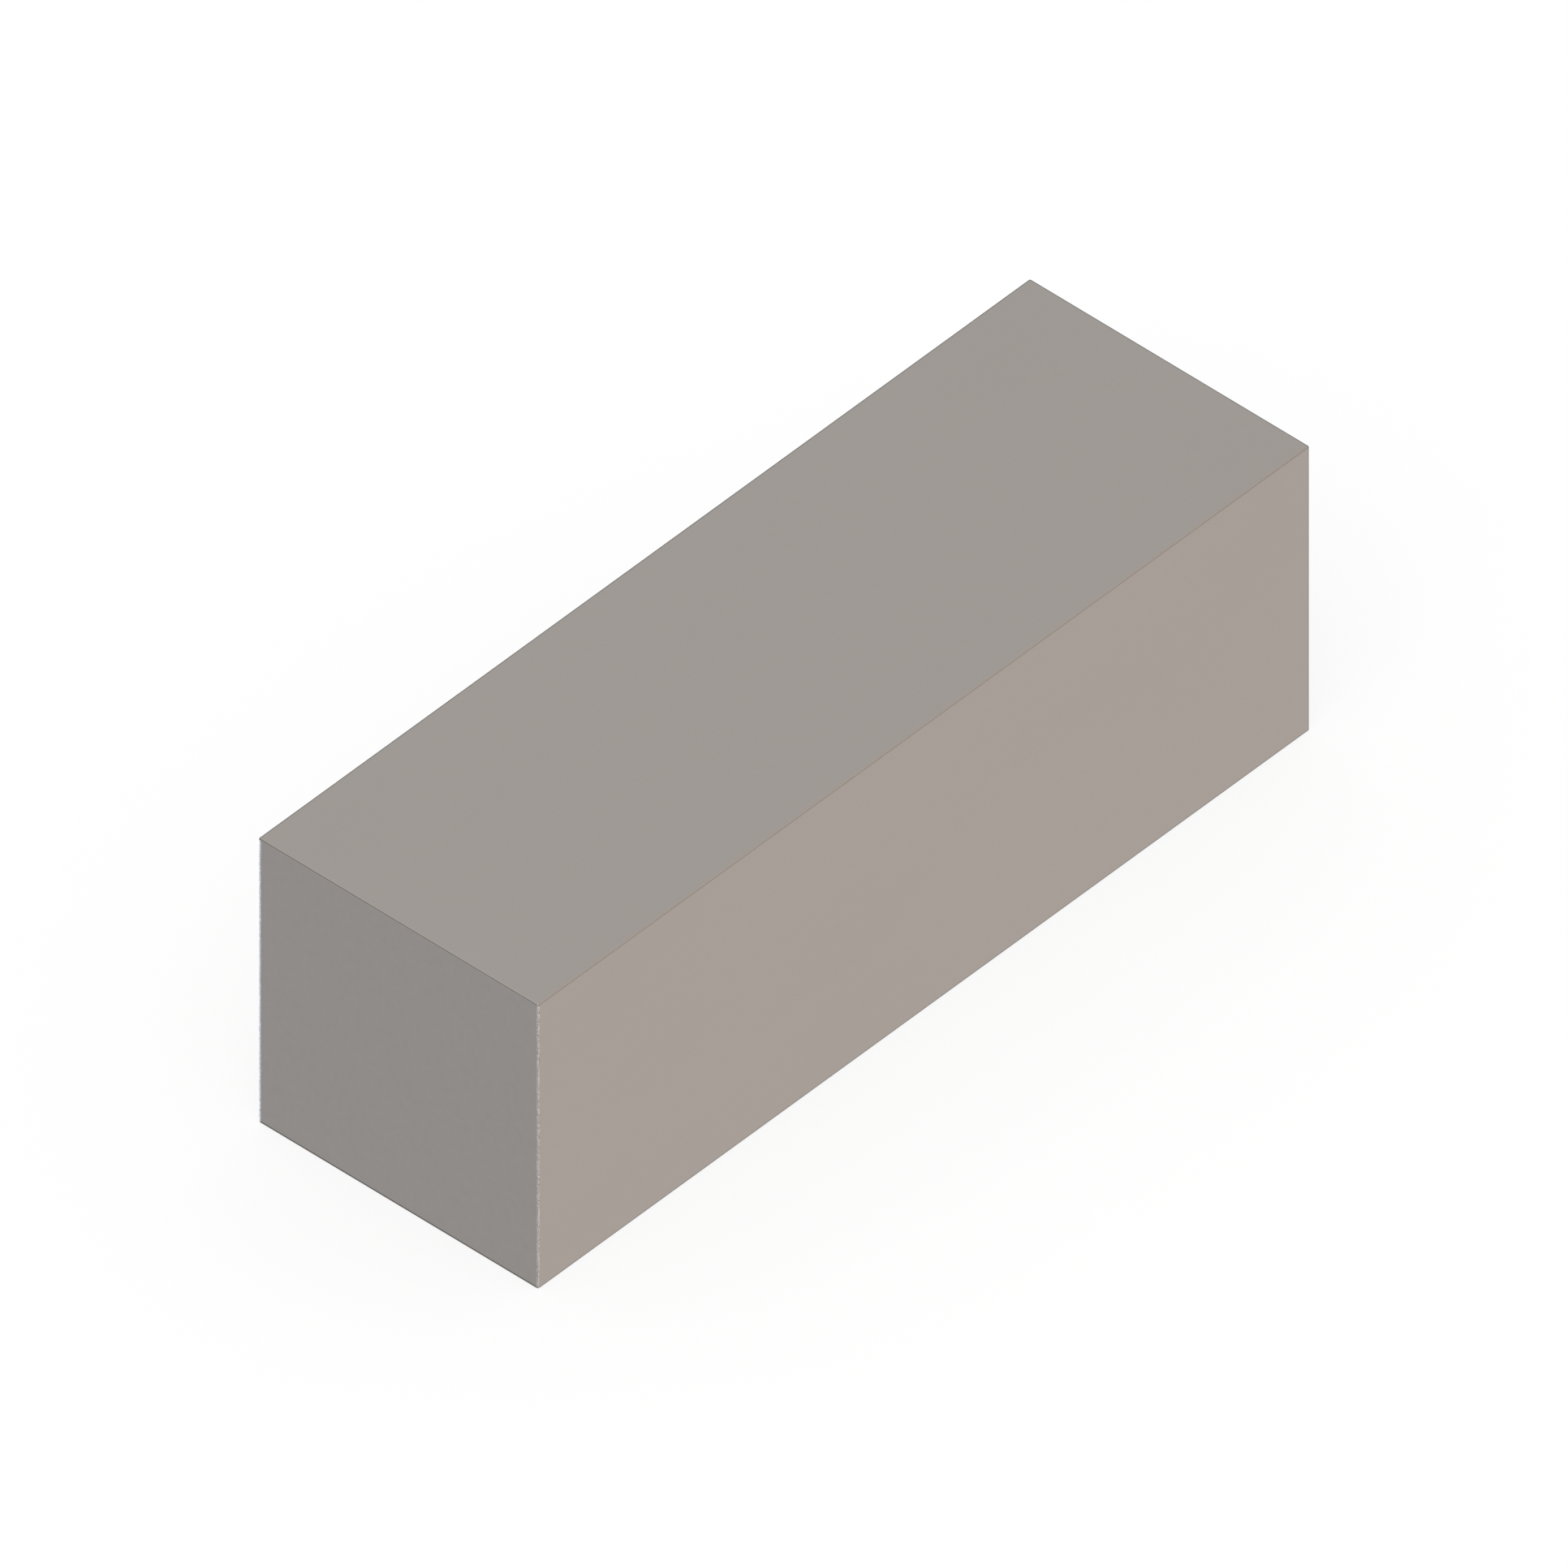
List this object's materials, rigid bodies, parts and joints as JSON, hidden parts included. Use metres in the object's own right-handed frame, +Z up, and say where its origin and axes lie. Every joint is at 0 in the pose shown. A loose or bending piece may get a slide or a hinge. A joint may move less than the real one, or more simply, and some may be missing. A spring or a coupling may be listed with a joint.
{
  "type": "parallel key",
  "caption": "Square steel bar with square-cut ends and lightly broken edges, which keys a hub to a shaft so that they turn together.",
  "frame": {"origin": "centre of the seat, the face that lies on the floor of the shaft's keyway", "axes": "+X along the key's length; +Y across its width, out of the left drive side; +Z up from the seat to the top face"},
  "size_m": [0.0182, 0.006, 0.006],
  "materials": {
    "key_steel": "satin"
  },
  "bodies": {
    "root": {"parallel_key": "key_steel"}
  },
  "joints": []
}
